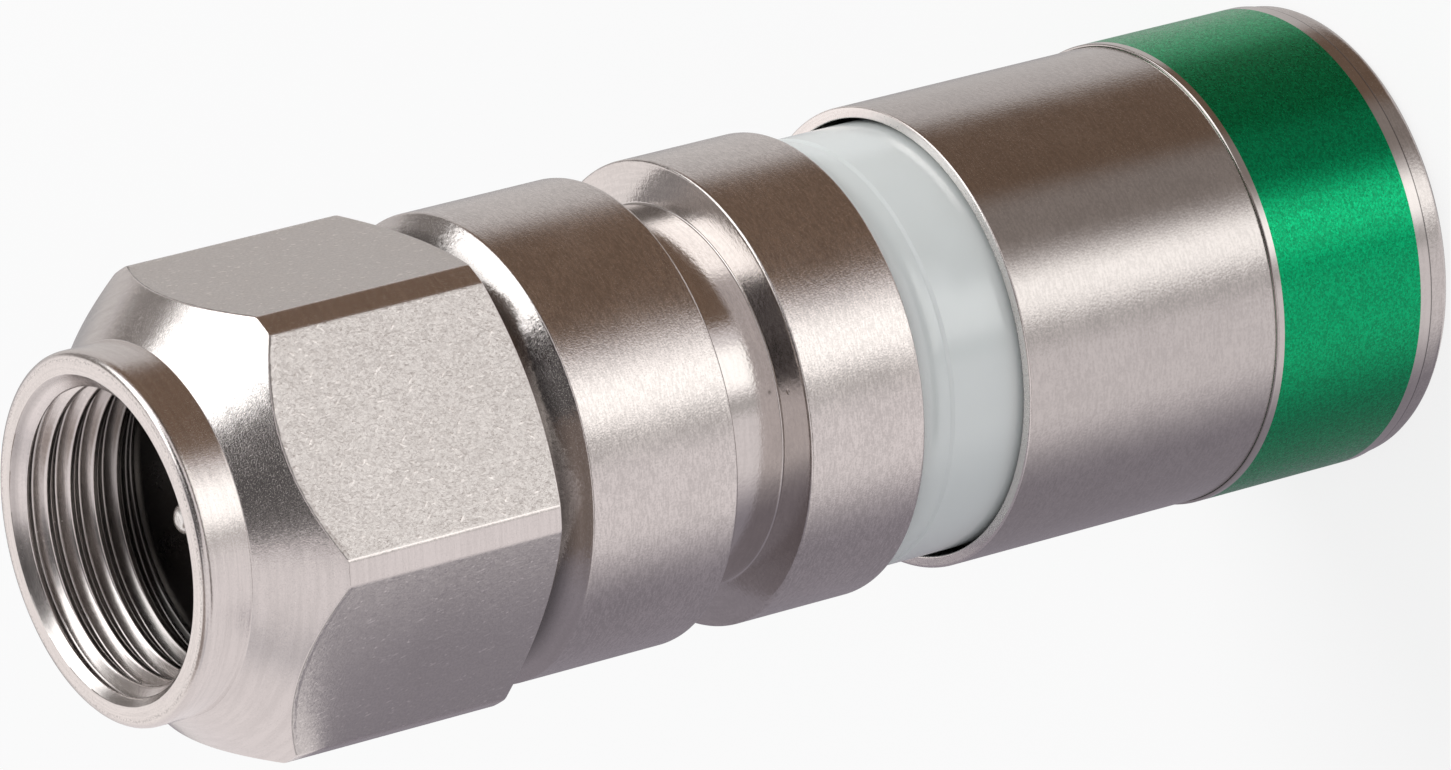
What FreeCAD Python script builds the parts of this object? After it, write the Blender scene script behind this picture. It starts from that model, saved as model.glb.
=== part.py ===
import FreeCAD, Part
import os
import Sketcher

# Compression F connector for thick coaxial cable, with a captive centre pin, as it is before a cable
# is fitted. It stands on its cable end: the axis is Z, the cable enters at Z = 0 and the coupling
# nut's nose is at the top. Every piece is turned about that axis. Millimetres throughout.

os.makedirs("parts", exist_ok=True)
doc = FreeCAD.newDocument("f_connector")

SIZES = {
    # Shared by several pieces
    "edge_break": 0.12,
    "press_clearance": 0.01,
    # Cable room, then the walls round it out to the shell's surface
    "cable_bore_radius": 5.6,
    "insert_wall": 0.9,
    "insert_clearance": 0.15,
    "sleeve_wall": 0.35,
    # Compression sleeve, measured up from the cable end
    "sleeve_length": 15.7,
    "entry_step": 0.15,
    "entry_chamfer": 0.35,
    "sleeve_rear_round": 0.3,
    "taper_height": 4.8,
    "taper_length": 3.2,
    # Marking band round the sleeve
    "band_height": 0.74,
    "band_length": 5.86,
    "band_thickness": 0.08,
    "glue_thickness": 0.01,
    # Compression insert, and how far the sleeve travels over it
    "closing_travel": 3.78,
    "tail_cone_length": 1.2,
    "relief_step": 0.06,
    "relief_length": 1.0,
    "spigot_step": 0.35,
    "spigot_length": 2.9,
    "spigot_gap": 0.05,
    # Body: rear land, groove, front land, then a collar and a neck inside the nut
    "rear_land_length": 4.09,
    "groove_width": 2.57,
    "groove_depth": 1.3,
    "groove_fillet": 0.4,
    "front_land_length": 5.92,
    "front_chamfer": 0.85,
    "collar_clearance": 0.15,
    "collar_length": 0.28,
    "neck_wall": 0.35,
    "neck_length": 1.45,
    "post_seat_height": 3.5,
    "post_seat_length": 6.0,
    # Coupling nut
    "nut_length": 11.2,
    "nut_across_flats": 13.3,
    "corner_rise": 0.825,
    "rear_face_inset": 0.15,
    "nut_rear_chamfer_height": 0.45,
    "nose_wall": 1.11,
    "nose_length": 1.55,
    "nose_round": 0.25,
    "thread_minor_radius": 4.39,
    "thread_depth": 4.2,
    "mouth_chamfer": 0.45,
    "chamber_step": 0.41,
    "lip_thickness": 1.35,
    "lip_clearance": 0.07,
    "nut_running_gap": 0.13,
    "skirt_chamfer": 0.2,
    "lip_rear_gap": 0.1,
    # Contact ferrule
    "ferrule_radius": 3.6,
    "ferrule_rear_gap": 0.1,
    "ferrule_wall": 0.7,
    "flange_clearance": 0.09,
    "flange_thickness": 1.1,
    "flange_gap": 0.05,
    "flange_chamfer": 0.2,
    # Nut seal
    "seal_section_radius": 0.6,
    "seal_clearance": 0.02,
    "seal_running_gap": 0.07,
    # Insulator in the ferrule
    "insulator_length": 5.5,
    "insulator_rear_recess": 0.8,
    "insulator_wall": 1.2,
    "insulator_recess": 0.4,
    "cavity_clearance": 0.6,
    "pin_clearance": 0.05,
    # Centre pin
    "pin_radius": 0.5,
    "pin_length": 20.9,
    "stem_step": 0.2,
    "stem_reach": 0.15,
    "pin_tip_round": 0.35,
    "socket_bore_radius": 0.85,
    "socket_wall": 0.45,
    "socket_length": 6.5,
    "socket_depth": 4.2,
    "shoulder_cone": 0.8,
    "slot_width": 0.3,
    "slot_length": 3.2,
    "slot_count": 4,
    "pin_collar_step": 0.3,
    "pin_collar_length": 0.5,
    # Guide that carries the pin in the post
    "guide_length": 3.0,
    "guide_clearance": 0.05,
    "guide_edge": 0.25,
    "guide_stop_gap": 0.22,
    "socket_tail": 2.1,
    # Post under the cable's braid
    "core_radius": 3.65,
    "post_wall": 0.4,
    "post_tip_wall": 0.15,
    "post_tip_length": 0.6,
    "post_reach": 12.3,
    "post_collar_step": 0.55,
    "post_collar_length": 5.6,
    "barb_step": 0.35,
    "barb_length": 1.4,
    "barb_start": 0.7,
    "barb_pitch": 1.9,
    "barb_count": 2,
}

sheet = doc.addObject("Spreadsheet::Sheet", "sizes")
for row, (alias, size) in enumerate(SIZES.items(), start=1):
    sheet.set(f"A{row}", alias)
    sheet.set(f"B{row}", str(size))
    sheet.setAlias(f"B{row}", alias)
doc.recompute()


def of(*aliases):
    """Expression for the sum of some sizes in the sheet."""
    return " + ".join("sizes." + alias for alias in aliases)


def value(expression):
    """Number that an expression gives now."""
    return float(sheet.evalExpression(expression))


# Radii, each built up from its neighbour by a named wall, step or clearance
INSERT_RADIUS = of("cable_bore_radius", "insert_wall")
SLEEVE_BORE = of("cable_bore_radius", "insert_wall", "insert_clearance")
SHELL_RADIUS = f"{SLEEVE_BORE} + sizes.sleeve_wall"
ENTRY_RADIUS = "sizes.cable_bore_radius - sizes.entry_step"
SPIGOT_RADIUS = f"{INSERT_RADIUS} - sizes.spigot_step"
NECK_RADIUS = of("ferrule_radius", "press_clearance", "neck_wall")
SKIRT_BORE = f"{NECK_RADIUS} + sizes.seal_clearance + 2 * sizes.seal_section_radius + sizes.seal_running_gap"
SOCKET_RADIUS = of("socket_bore_radius", "socket_wall")
POST_RADIUS = of("core_radius", "post_wall")
POST_COLLAR_RADIUS = f"{POST_RADIUS} + sizes.post_collar_step"
STEM_RADIUS = of("pin_radius", "stem_step")
INSULATOR_RADIUS = "sizes.ferrule_radius - sizes.ferrule_wall"
NOSE_RADIUS = of("thread_minor_radius", "nose_wall")
NUT_CORNER_RADIUS = "sizes.nut_across_flats / 2 + sizes.corner_rise"

# Heights above the cable end
BODY_BASE = of("sleeve_length", "closing_travel")
BODY_LENGTH = of("rear_land_length", "groove_width", "front_land_length")
NECK_TOP = f"{BODY_BASE} + {BODY_LENGTH} + " + of("collar_length", "neck_length")
NUT_BASE = f"{BODY_BASE} + {BODY_LENGTH} + " + of("nut_running_gap")
SKIRT_DEPTH = f"{NECK_TOP} + sizes.lip_rear_gap - ({NUT_BASE})"
FLANGE_BASE = f"{NECK_TOP} + " + of("lip_rear_gap", "lip_thickness", "flange_gap")
POST_TOP = f"{BODY_BASE} + " + of("post_seat_height", "post_seat_length")
FERRULE_BASE = f"{POST_TOP} + sizes.ferrule_rear_gap"
POST_BASE = f"{BODY_BASE} - sizes.post_reach"
GUIDE_BASE = f"{POST_TOP} - sizes.guide_stop_gap - sizes.closing_travel - sizes.guide_length"
PIN_BASE = f"{GUIDE_BASE} - sizes.socket_tail"
INSULATOR_BASE = f"{FLANGE_BASE} + sizes.flange_thickness - " + (
    "sizes.insulator_recess - sizes.insulator_length")
STEM_TOP = f"{INSULATOR_BASE} + " + of("insulator_rear_recess", "insulator_wall", "stem_reach")
TAPER_TOP = of("taper_height", "taper_length")


def new_body(label, height):
    """Empty body whose own origin stands at a height on the axis."""
    body = doc.addObject("PartDesign::Body", label)
    body.Label = label
    body.setExpression("Placement.Base.z", height)
    return body


def new_sketch(body, name, role):
    """Sketch on one of the body's own origin planes."""
    sketch = body.newObject("Sketcher::SketchObject", name)
    plane = next(item for item in body.Origin.OriginFeatures if item.Role == role)
    sketch.AttachmentSupport = [(plane, "")]
    sketch.MapMode = "FlatFace"
    return sketch


def dimension(sketch, kind, corner, expression):
    """Tie one coordinate of a corner to an expression, measured from the sketch's origin."""
    if expression == "0":
        axis = -2 if kind == "DistanceX" else -1
        sketch.addConstraint(Sketcher.Constraint("PointOnObject", corner, 1, axis))
        return
    size = value(expression)
    index = sketch.addConstraint(Sketcher.Constraint(kind, -1, 1, corner, 1, size))
    name = f"{'radius' if kind == 'DistanceX' else 'height'}_{corner}"
    sketch.renameConstraint(index, name)
    sketch.setExpression(f"Constraints.{name}", expression)


def draw_outline(sketch, corners):
    """Closed outline through corners, each given as two expressions: across, then up."""
    points = [FreeCAD.Vector(value(across), value(up), 0) for across, up in corners]
    count = len(points)
    for index, start in enumerate(points):
        sketch.addGeometry(Part.LineSegment(start, points[(index + 1) % count]), False)
    for index in range(count):
        following = (index + 1) % count
        sketch.addConstraint(Sketcher.Constraint("Coincident", index, 2, following, 1))
    for index, (across, up) in enumerate(corners):
        if index and across == corners[index - 1][0]:
            sketch.addConstraint(Sketcher.Constraint("Vertical", index - 1))
        else:
            dimension(sketch, "DistanceX", index, across)
        if index and up == corners[index - 1][1]:
            sketch.addConstraint(Sketcher.Constraint("Horizontal", index - 1))
        else:
            dimension(sketch, "DistanceY", index, up)


def turn(body, name, corners, kind="Revolution"):
    """Turned form, added or cut, from an outline of radii and heights."""
    sketch = new_sketch(body, name + "_outline", "XZ_Plane")
    draw_outline(sketch, corners)
    before = volume_of(body)
    feature = body.newObject("PartDesign::" + kind, name)
    feature.Profile = sketch
    feature.ReferenceAxis = (sketch, ["V_Axis"])
    feature.Angle = 360
    doc.recompute()
    check_changed(body, before, name)
    return feature


def volume_of(body):
    """Volume of the body so far, nothing when it is still empty."""
    return 0.0 if body.Tip is None or body.Shape.isNull() else body.Shape.Volume


def check_changed(body, before, name):
    """Stop where a feature has added or cut nothing."""
    if abs(body.Shape.Volume - before) < 1e-6:
        raise RuntimeError(name + " changed nothing")


def dress(body, kind, name, size, rings):
    """Chamfer or fillet on the round edges at the given radii and heights."""
    doc.recompute()
    base = body.Tip
    edges = []
    for radius, height in rings:
        for number, edge in enumerate(base.Shape.Edges, start=1):
            curve = edge.Curve
            if not isinstance(curve, Part.Circle):
                continue
            if abs(curve.Radius - value(radius)) < 1e-4 and abs(curve.Center.z - value(height)) < 1e-4:
                edges.append(f"Edge{number}")
    if not edges:
        raise RuntimeError(name + " found no edge")
    feature = body.newObject("PartDesign::" + kind, name)
    feature.Base = (base, edges)
    feature.setExpression("Size" if kind == "Chamfer" else "Radius", size)
    doc.recompute()
    return feature


def make_compression_sleeve():
    """Tube that is pressed forward over the insert: straight bore, taper, then the cable's entry."""
    body = new_body("compression_sleeve", "0")
    length = of("sleeve_length")
    turn(body, "sleeve_turned", [
        (ENTRY_RADIUS, "0"),
        (SHELL_RADIUS, "0"),
        (SHELL_RADIUS, length),
        (SLEEVE_BORE, length),
        (SLEEVE_BORE, TAPER_TOP),
        (ENTRY_RADIUS, of("taper_height")),
    ])
    dress(body, "Fillet", "sleeve_rear_edge", of("sleeve_rear_round"), [(SHELL_RADIUS, "0")])
    dress(body, "Chamfer", "sleeve_entry", of("entry_chamfer"), [(ENTRY_RADIUS, "0")])
    dress(body, "Fillet", "sleeve_front_edge", of("edge_break"), [(SHELL_RADIUS, length)])
    return body


def make_marking_band():
    """Thin coloured film wrapped once round the sleeve."""
    body = new_body("marking_band", of("band_height"))
    inner = f"{SHELL_RADIUS} + sizes.glue_thickness"
    outer = inner + " + " + of("band_thickness")
    turn(body, "band_film", [
        (inner, "0"),
        (outer, "0"),
        (outer, of("band_length")),
        (inner, of("band_length")),
    ])
    return body


def make_compression_insert():
    """Plastic tube that the sleeve squeezes on the cable. Its tail has the slope of the sleeve's taper."""
    shoulder = f"sizes.sleeve_length - ({TAPER_TOP}) + sizes.tail_cone_length"
    body = new_body("compression_insert", f"{BODY_BASE} - ({shoulder})")
    bore = of("cable_bore_radius")
    slope = f"({SLEEVE_BORE} - ({ENTRY_RADIUS})) / sizes.taper_length"
    tail_end = f"{INSERT_RADIUS} - sizes.tail_cone_length * {slope}"
    relief = f"{INSERT_RADIUS} - sizes.relief_step"
    top = f"{shoulder} + sizes.spigot_length"
    turn(body, "insert_moulded", [
        (bore, "0"),
        (tail_end, "0"),
        (INSERT_RADIUS, of("tail_cone_length")),
        (INSERT_RADIUS, f"{shoulder} - sizes.relief_length"),
        (relief, f"{shoulder} - sizes.relief_length + sizes.relief_step"),
        (relief, shoulder),
        (SPIGOT_RADIUS, shoulder),
        (SPIGOT_RADIUS, top),
        (bore, top),
    ])
    dress(body, "Chamfer", "spigot_lead", of("edge_break"), [(SPIGOT_RADIUS, top)])
    return body


def make_connector_body():
    """Turned body: two lands with a radiused groove between them, and a stepped bore."""
    body = new_body("connector_body", BODY_BASE)
    collar = f"{SKIRT_BORE} - sizes.collar_clearance"
    collar_top = f"{BODY_LENGTH} + " + of("collar_length")
    neck_top = f"{collar_top} + " + of("neck_length")
    spigot_seat = f"{SPIGOT_RADIUS} + sizes.press_clearance"
    spigot_depth = of("spigot_length", "spigot_gap")
    cable_room = of("cable_bore_radius")
    post_seat = f"{POST_COLLAR_RADIUS} + sizes.press_clearance"
    ferrule_seat = of("ferrule_radius", "press_clearance")
    step = of("post_seat_height", "post_seat_length")
    turn(body, "body_turned", [
        (spigot_seat, "0"),
        (SHELL_RADIUS, "0"),
        (SHELL_RADIUS, BODY_LENGTH),
        (collar, BODY_LENGTH),
        (collar, collar_top),
        (NECK_RADIUS, collar_top),
        (NECK_RADIUS, neck_top),
        (ferrule_seat, neck_top),
        (ferrule_seat, step),
        (post_seat, step),
        (post_seat, of("post_seat_height")),
        (cable_room, of("post_seat_height")),
        (cable_room, spigot_depth),
        (spigot_seat, spigot_depth),
    ])
    floor = f"{SHELL_RADIUS} - sizes.groove_depth"
    groove_low = of("rear_land_length")
    groove_high = of("rear_land_length", "groove_width")
    beyond = f"2 * ({SHELL_RADIUS})"
    turn(body, "body_groove", [
        (floor, groove_low),
        (beyond, groove_low),
        (beyond, groove_high),
        (floor, groove_high),
    ], kind="Groove")
    dress(body, "Fillet", "groove_corners", of("groove_fillet"), [(floor, groove_low), (floor, groove_high)])
    dress(body, "Chamfer", "body_front_edge", of("front_chamfer"), [(SHELL_RADIUS, BODY_LENGTH)])
    lands = [(SHELL_RADIUS, "0"), (SHELL_RADIUS, groove_low), (SHELL_RADIUS, groove_high)]
    dress(body, "Fillet", "land_edges", of("edge_break"), lands)
    return body


def make_contact_ferrule():
    """Flanged tube through the nut, pressed into the body's neck. Its flange traps the nut."""
    body = new_body("contact_ferrule", FERRULE_BASE)
    bore = f"{INSULATOR_RADIUS} + sizes.press_clearance"
    outer = of("ferrule_radius")
    flange = "sizes.thread_minor_radius - sizes.flange_clearance"
    under = f"{FLANGE_BASE} - ({FERRULE_BASE})"
    top = f"{under} + " + of("flange_thickness")
    turn(body, "ferrule_turned", [
        (bore, "0"),
        (outer, "0"),
        (outer, under),
        (flange, under),
        (flange, top),
        (bore, top),
    ])
    dress(body, "Chamfer", "flange_front_edge", of("flange_chamfer"), [(flange, top)])
    dress(body, "Chamfer", "ferrule_lead", of("edge_break"), [(outer, "0")])
    return body


def make_nut_seal():
    """Rubber ring round the neck, inside the nut's skirt."""
    seal = doc.addObject("Part::Torus", "nut_seal")
    seal.Label = "nut_seal"
    seal.setExpression("Radius1", f"{NECK_RADIUS} + " + of("seal_clearance", "seal_section_radius"))
    seal.setExpression("Radius2", of("seal_section_radius"))
    seat = f"{BODY_BASE} + {BODY_LENGTH} + " + of("collar_length", "seal_clearance", "seal_section_radius")
    seal.setExpression("Placement.Base.z", seat)
    return seal


def draw_hexagon(sketch, across_flats, first):
    """Regular hexagon about the origin with a corner on the X axis, lying on a construction circle."""
    corner_radius = f"{across_flats} / 2 / cos(30 deg)"
    radius = value(corner_radius)
    corners = []
    for step in range(6):
        turned = FreeCAD.Rotation(FreeCAD.Vector(0, 0, 1), 60 * step)
        corners.append(turned.multVec(FreeCAD.Vector(radius, 0, 0)))
    for index in range(6):
        sketch.addGeometry(Part.LineSegment(corners[index], corners[(index + 1) % 6]), False)
    guide = sketch.addGeometry(Part.Circle(FreeCAD.Vector(), FreeCAD.Vector(0, 0, 1), radius), True)
    for index in range(6):
        this_side = first + index
        next_side = first + (index + 1) % 6
        sketch.addConstraint(Sketcher.Constraint("Coincident", this_side, 2, next_side, 1))
        sketch.addConstraint(Sketcher.Constraint("PointOnObject", this_side, 1, guide))
        if index:
            sketch.addConstraint(Sketcher.Constraint("Equal", first, this_side))
    sketch.addConstraint(Sketcher.Constraint("PointOnObject", first, 1, -1))
    sketch.addConstraint(Sketcher.Constraint("Coincident", guide, 3, -1, 1))
    size = sketch.addConstraint(Sketcher.Constraint("Radius", guide, radius))
    sketch.renameConstraint(size, "corner_radius")
    sketch.setExpression("Constraints.corner_radius", corner_radius)


def make_coupling_nut():
    """Hexagon nut with a round nose: turned first, then its six flats are milled."""
    body = new_body("coupling_nut", NUT_BASE)
    length = of("nut_length")
    nose_base = f"{length} - sizes.nose_length"
    cone_base = f"{nose_base} - ({NUT_CORNER_RADIUS} - ({NOSE_RADIUS}))"
    rear_face = "sizes.nut_across_flats / 2 - sizes.rear_face_inset"
    lip = of("ferrule_radius", "lip_clearance")
    lip_base = SKIRT_DEPTH
    lip_top = f"{SKIRT_DEPTH} + sizes.lip_thickness"
    thread = of("thread_minor_radius")
    chamber = of("thread_minor_radius", "chamber_step")
    thread_base = f"{length} - sizes.thread_depth"
    turn(body, "nut_turned", [
        (SKIRT_BORE, "0"),
        (rear_face, "0"),
        (NUT_CORNER_RADIUS, of("nut_rear_chamfer_height")),
        (NUT_CORNER_RADIUS, cone_base),
        (NOSE_RADIUS, nose_base),
        (NOSE_RADIUS, length),
        (thread, length),
        (thread, thread_base),
        (chamber, thread_base),
        (chamber, lip_top),
        (lip, lip_top),
        (lip, lip_base),
        (SKIRT_BORE, lip_base),
    ])
    dress(body, "Fillet", "nose_edge", of("nose_round"), [(NOSE_RADIUS, length)])
    dress(body, "Chamfer", "thread_mouth", of("mouth_chamfer"), [(thread, length)])
    dress(body, "Chamfer", "skirt_mouth", of("skirt_chamfer"), [(SKIRT_BORE, "0")])
    sketch = new_sketch(body, "flats_outline", "XY_Plane")
    rim_radius = f"2 * ({NUT_CORNER_RADIUS})"
    circle = Part.Circle(FreeCAD.Vector(), FreeCAD.Vector(0, 0, 1), value(rim_radius))
    rim = sketch.addGeometry(circle, False)
    sketch.addConstraint(Sketcher.Constraint("Coincident", rim, 3, -1, 1))
    rim_size = sketch.addConstraint(Sketcher.Constraint("Radius", rim, value(rim_radius)))
    sketch.renameConstraint(rim_size, "rim_radius")
    sketch.setExpression("Constraints.rim_radius", rim_radius)
    draw_hexagon(sketch, of("nut_across_flats"), first=rim + 1)
    before = volume_of(body)
    flats = body.newObject("PartDesign::Pocket", "flats_milled")
    flats.Profile = sketch
    flats.Type = "ThroughAll"
    flats.Reversed = True
    doc.recompute()
    check_changed(body, before, "flats_milled")
    return body


def make_front_insulator():
    """Plastic bead in the ferrule, hollow at both ends, whose wall holds the pin on the axis."""
    body = new_body("front_insulator", INSULATOR_BASE)
    cavity = f"{SOCKET_RADIUS} + sizes.cavity_clearance"
    length = of("insulator_length")
    bore = f"{STEM_RADIUS} + sizes.pin_clearance"
    wall_base = of("insulator_rear_recess")
    wall_top = of("insulator_rear_recess", "insulator_wall")
    turn(body, "insulator_moulded", [
        (cavity, "0"),
        (INSULATOR_RADIUS, "0"),
        (INSULATOR_RADIUS, length),
        (cavity, length),
        (cavity, wall_top),
        (bore, wall_top),
        (bore, wall_base),
        (cavity, wall_base),
    ])
    dress(body, "Chamfer", "pin_lead", of("edge_break"), [(bore, wall_base)])
    return body


def draw_slot(sketch, reach, width):
    """Rectangle from the origin out along X, centred on the X axis."""
    far = value(reach)
    half = value(width) / 2
    corners = [(0, -half), (far, -half), (far, half), (0, half)]
    points = [FreeCAD.Vector(across, up, 0) for across, up in corners]
    for index, start in enumerate(points):
        sketch.addGeometry(Part.LineSegment(start, points[(index + 1) % 4]), False)
    for index in range(4):
        sketch.addConstraint(Sketcher.Constraint("Coincident", index, 2, (index + 1) % 4, 1))
    sketch.addConstraint(Sketcher.Constraint("Horizontal", 0))
    sketch.addConstraint(Sketcher.Constraint("Vertical", 1))
    sketch.addConstraint(Sketcher.Constraint("Symmetric", 3, 1, 3, 2, -1, 1))
    for name, kind, side, size in (("reach", "DistanceX", 0, far), ("width", "DistanceY", 1, 2 * half)):
        index = sketch.addConstraint(Sketcher.Constraint(kind, side, 1, side, 2, size))
        sketch.renameConstraint(index, name)
    sketch.setExpression("Constraints.reach", reach)
    sketch.setExpression("Constraints.width", width)


def make_centre_pin():
    """Turned pin with a collar and a slotted socket for the cable's conductor."""
    body = new_body("centre_pin", PIN_BASE)
    bore = of("socket_bore_radius")
    collar = f"{SOCKET_RADIUS} + sizes.pin_collar_step"
    collar_base = of("socket_tail", "guide_length")
    collar_top = f"{collar_base} + sizes.pin_collar_length"
    pin = of("pin_radius")
    stem_top = f"{STEM_TOP} - ({PIN_BASE})"
    length = of("pin_length")
    turn(body, "pin_turned", [
        (bore, "0"),
        (SOCKET_RADIUS, "0"),
        (SOCKET_RADIUS, collar_base),
        (collar, collar_base),
        (collar, collar_top),
        (SOCKET_RADIUS, collar_top),
        (SOCKET_RADIUS, of("socket_length")),
        (STEM_RADIUS, of("socket_length", "shoulder_cone")),
        (STEM_RADIUS, stem_top),
        (pin, stem_top),
        (pin, length),
        ("0", length),
        ("0", of("socket_depth", "socket_bore_radius")),
        (bore, of("socket_depth")),
    ])
    dress(body, "Fillet", "pin_tip", of("pin_tip_round"), [(pin, length)])
    dress(body, "Chamfer", "socket_mouth", of("edge_break"), [(bore, "0")])
    sketch = new_sketch(body, "slot_outline", "XY_Plane")
    draw_slot(sketch, f"2 * ({SOCKET_RADIUS})", of("slot_width"))
    before = volume_of(body)
    slot = body.newObject("PartDesign::Pocket", "socket_slot")
    slot.Profile = sketch
    slot.Reversed = True
    slot.setExpression("Length", of("slot_length"))
    doc.recompute()
    check_changed(body, before, "socket_slot")
    before = volume_of(body)
    slots = body.newObject("PartDesign::PolarPattern", "socket_slots")
    slots.Originals = [slot]
    slots.Axis = (sketch, ["N_Axis"])
    slots.Angle = 360
    slots.setExpression("Occurrences", of("slot_count"))
    body.Tip = slots
    doc.recompute()
    check_changed(body, before, "socket_slots")
    return body


def make_pin_guide():
    """Plastic bush on the pin's socket that slides in the post's bore."""
    body = new_body("pin_guide", GUIDE_BASE)
    bore = f"{SOCKET_RADIUS} + sizes.press_clearance"
    outer = "sizes.core_radius - sizes.guide_clearance"
    length = of("guide_length")
    turn(body, "guide_moulded", [
        (bore, "0"),
        (outer, "0"),
        (outer, length),
        (bore, length),
    ])
    dress(body, "Chamfer", "guide_edges", of("guide_edge"), [(outer, "0"), (outer, length)])
    return body


def make_braid_post():
    """Thin tube that goes under the cable's braid, with a collar pressed into the body and barbs."""
    body = new_body("braid_post", POST_BASE)
    core = of("core_radius")
    top = f"{POST_TOP} - ({POST_BASE})"
    collar_base = f"{top} - sizes.post_collar_length"
    turn(body, "post_turned", [
        (core, "0"),
        (of("core_radius", "post_tip_wall"), "0"),
        (POST_RADIUS, of("post_tip_length")),
        (POST_RADIUS, collar_base),
        (POST_COLLAR_RADIUS, collar_base),
        (POST_COLLAR_RADIUS, top),
        (core, top),
    ])
    barb_top = of("barb_start", "barb_length")
    barb = turn(body, "post_barb", [
        (f"{POST_RADIUS} - sizes.edge_break", of("barb_start")),
        (POST_RADIUS, of("barb_start")),
        (f"{POST_RADIUS} + sizes.barb_step", barb_top),
        (f"{POST_RADIUS} - sizes.edge_break", barb_top),
    ])
    before = volume_of(body)
    barbs = body.newObject("PartDesign::LinearPattern", "post_barbs")
    barbs.Originals = [barb]
    barbs.Direction = (barb.Profile[0], ["V_Axis"])
    barbs.Mode = "Spacing"
    barbs.setExpression("Offset", of("barb_pitch"))
    barbs.setExpression("Occurrences", of("barb_count"))
    body.Tip = barbs
    doc.recompute()
    check_changed(body, before, "post_barbs")
    return body


pieces = [
    make_compression_sleeve(),
    make_marking_band(),
    make_compression_insert(),
    make_connector_body(),
    make_contact_ferrule(),
    make_nut_seal(),
    make_coupling_nut(),
    make_front_insulator(),
    make_centre_pin(),
    make_pin_guide(),
    make_braid_post(),
]
doc.recompute()

for item in doc.Objects:
    if "Invalid" in item.State or "Error" in item.State:
        raise RuntimeError(item.Name + " failed")
for piece in pieces:
    if piece.Shape.isNull() or not piece.Shape.isValid():
        raise RuntimeError(piece.Label + " has no valid shape")
for piece in pieces:
    piece.Shape.exportStep(f"parts/{piece.Label}.step")
    box = piece.Shape.BoundBox
    print(f"{piece.Label}: z {box.ZMin:.3f} to {box.ZMax:.3f}, across {box.XLength:.3f}, volume {piece.Shape.Volume:.3f}")
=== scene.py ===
"""Looks of a compression coaxial F connector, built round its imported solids.

Lengths are millimetres, except in the settings and in meshes, which hold metres as Blender does. Z runs
along the connector's axis, from the cable end on the floor to the nut's nose.
"""

import math

import bmesh
import bpy
from mathutils import Matrix, Vector


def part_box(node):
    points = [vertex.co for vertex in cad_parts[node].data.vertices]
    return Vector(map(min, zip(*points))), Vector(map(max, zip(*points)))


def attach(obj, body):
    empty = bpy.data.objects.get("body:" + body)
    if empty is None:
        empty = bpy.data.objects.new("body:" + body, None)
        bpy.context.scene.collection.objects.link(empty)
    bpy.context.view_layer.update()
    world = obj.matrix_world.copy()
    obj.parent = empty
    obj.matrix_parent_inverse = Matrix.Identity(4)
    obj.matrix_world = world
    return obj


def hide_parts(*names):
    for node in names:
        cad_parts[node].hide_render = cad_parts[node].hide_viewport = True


bl_info = {
    "name": "F Connector",
    "version": (1, 0, 0),
    "blender": (4, 5, 0),
    "location": "View3D > Sidebar > Connector",
    "description": "Builds the pieces, finishes and stage of a compression F connector",
    "category": "Object",
}

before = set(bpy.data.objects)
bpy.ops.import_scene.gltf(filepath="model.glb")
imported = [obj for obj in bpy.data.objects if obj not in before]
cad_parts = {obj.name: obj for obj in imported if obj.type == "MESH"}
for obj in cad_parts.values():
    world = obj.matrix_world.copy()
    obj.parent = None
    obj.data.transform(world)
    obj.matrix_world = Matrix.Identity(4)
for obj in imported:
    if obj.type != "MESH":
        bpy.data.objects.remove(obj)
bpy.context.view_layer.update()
MM = 0.001
NUT_LOW, NUT_HIGH = (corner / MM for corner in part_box("coupling_nut"))
SLEEVE_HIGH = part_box("compression_sleeve")[1] / MM
BAND_LOW, BAND_HIGH = (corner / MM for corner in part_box("marking_band"))
SEAM = 4e-7  # metres: points nearer to each other than this become one
NO_LENGTH = 1e-8  # metres
SIXTH = math.radians(60)

# Heights and radii that are used in more than one place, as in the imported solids
BODY_REAR = 19.48
INSERT_BORE = 5.6
SEAT_RADIUS = 6.15
GROOVE_REAR = 23.57
GROOVE_FRONT = 26.14
RELIEF_RADIUS = 4.8

# Middle and size of each small pit in the groove's rear wall
GROOVE_PITS = (((-1.746, -5.935, GROOVE_REAR), 0.11),)


# Node trees


class Wire:
    """A node's output, which can be added, taken away, multiplied and divided."""

    def __init__(self, tree, socket):
        self.tree = tree
        self.socket = socket

    def combine(self, operation, first, second):
        return self.tree.math(operation, first, second)

    def __add__(self, other):
        return self.combine("ADD", self, other)

    def __radd__(self, other):
        return self.combine("ADD", other, self)

    def __sub__(self, other):
        return self.combine("SUBTRACT", self, other)

    def __rsub__(self, other):
        return self.combine("SUBTRACT", other, self)

    def __mul__(self, other):
        return self.combine("MULTIPLY", self, other)

    def __rmul__(self, other):
        return self.combine("MULTIPLY", other, self)

    def __truediv__(self, other):
        return self.combine("DIVIDE", self, other)

    def __rtruediv__(self, other):
        return self.combine("DIVIDE", other, self)


class Made:
    """A node that was just added."""

    def __init__(self, tree, node):
        self.tree = tree
        self.node = node

    def wire(self, output=0):
        return Wire(self.tree, self.node.outputs[output])


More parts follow.
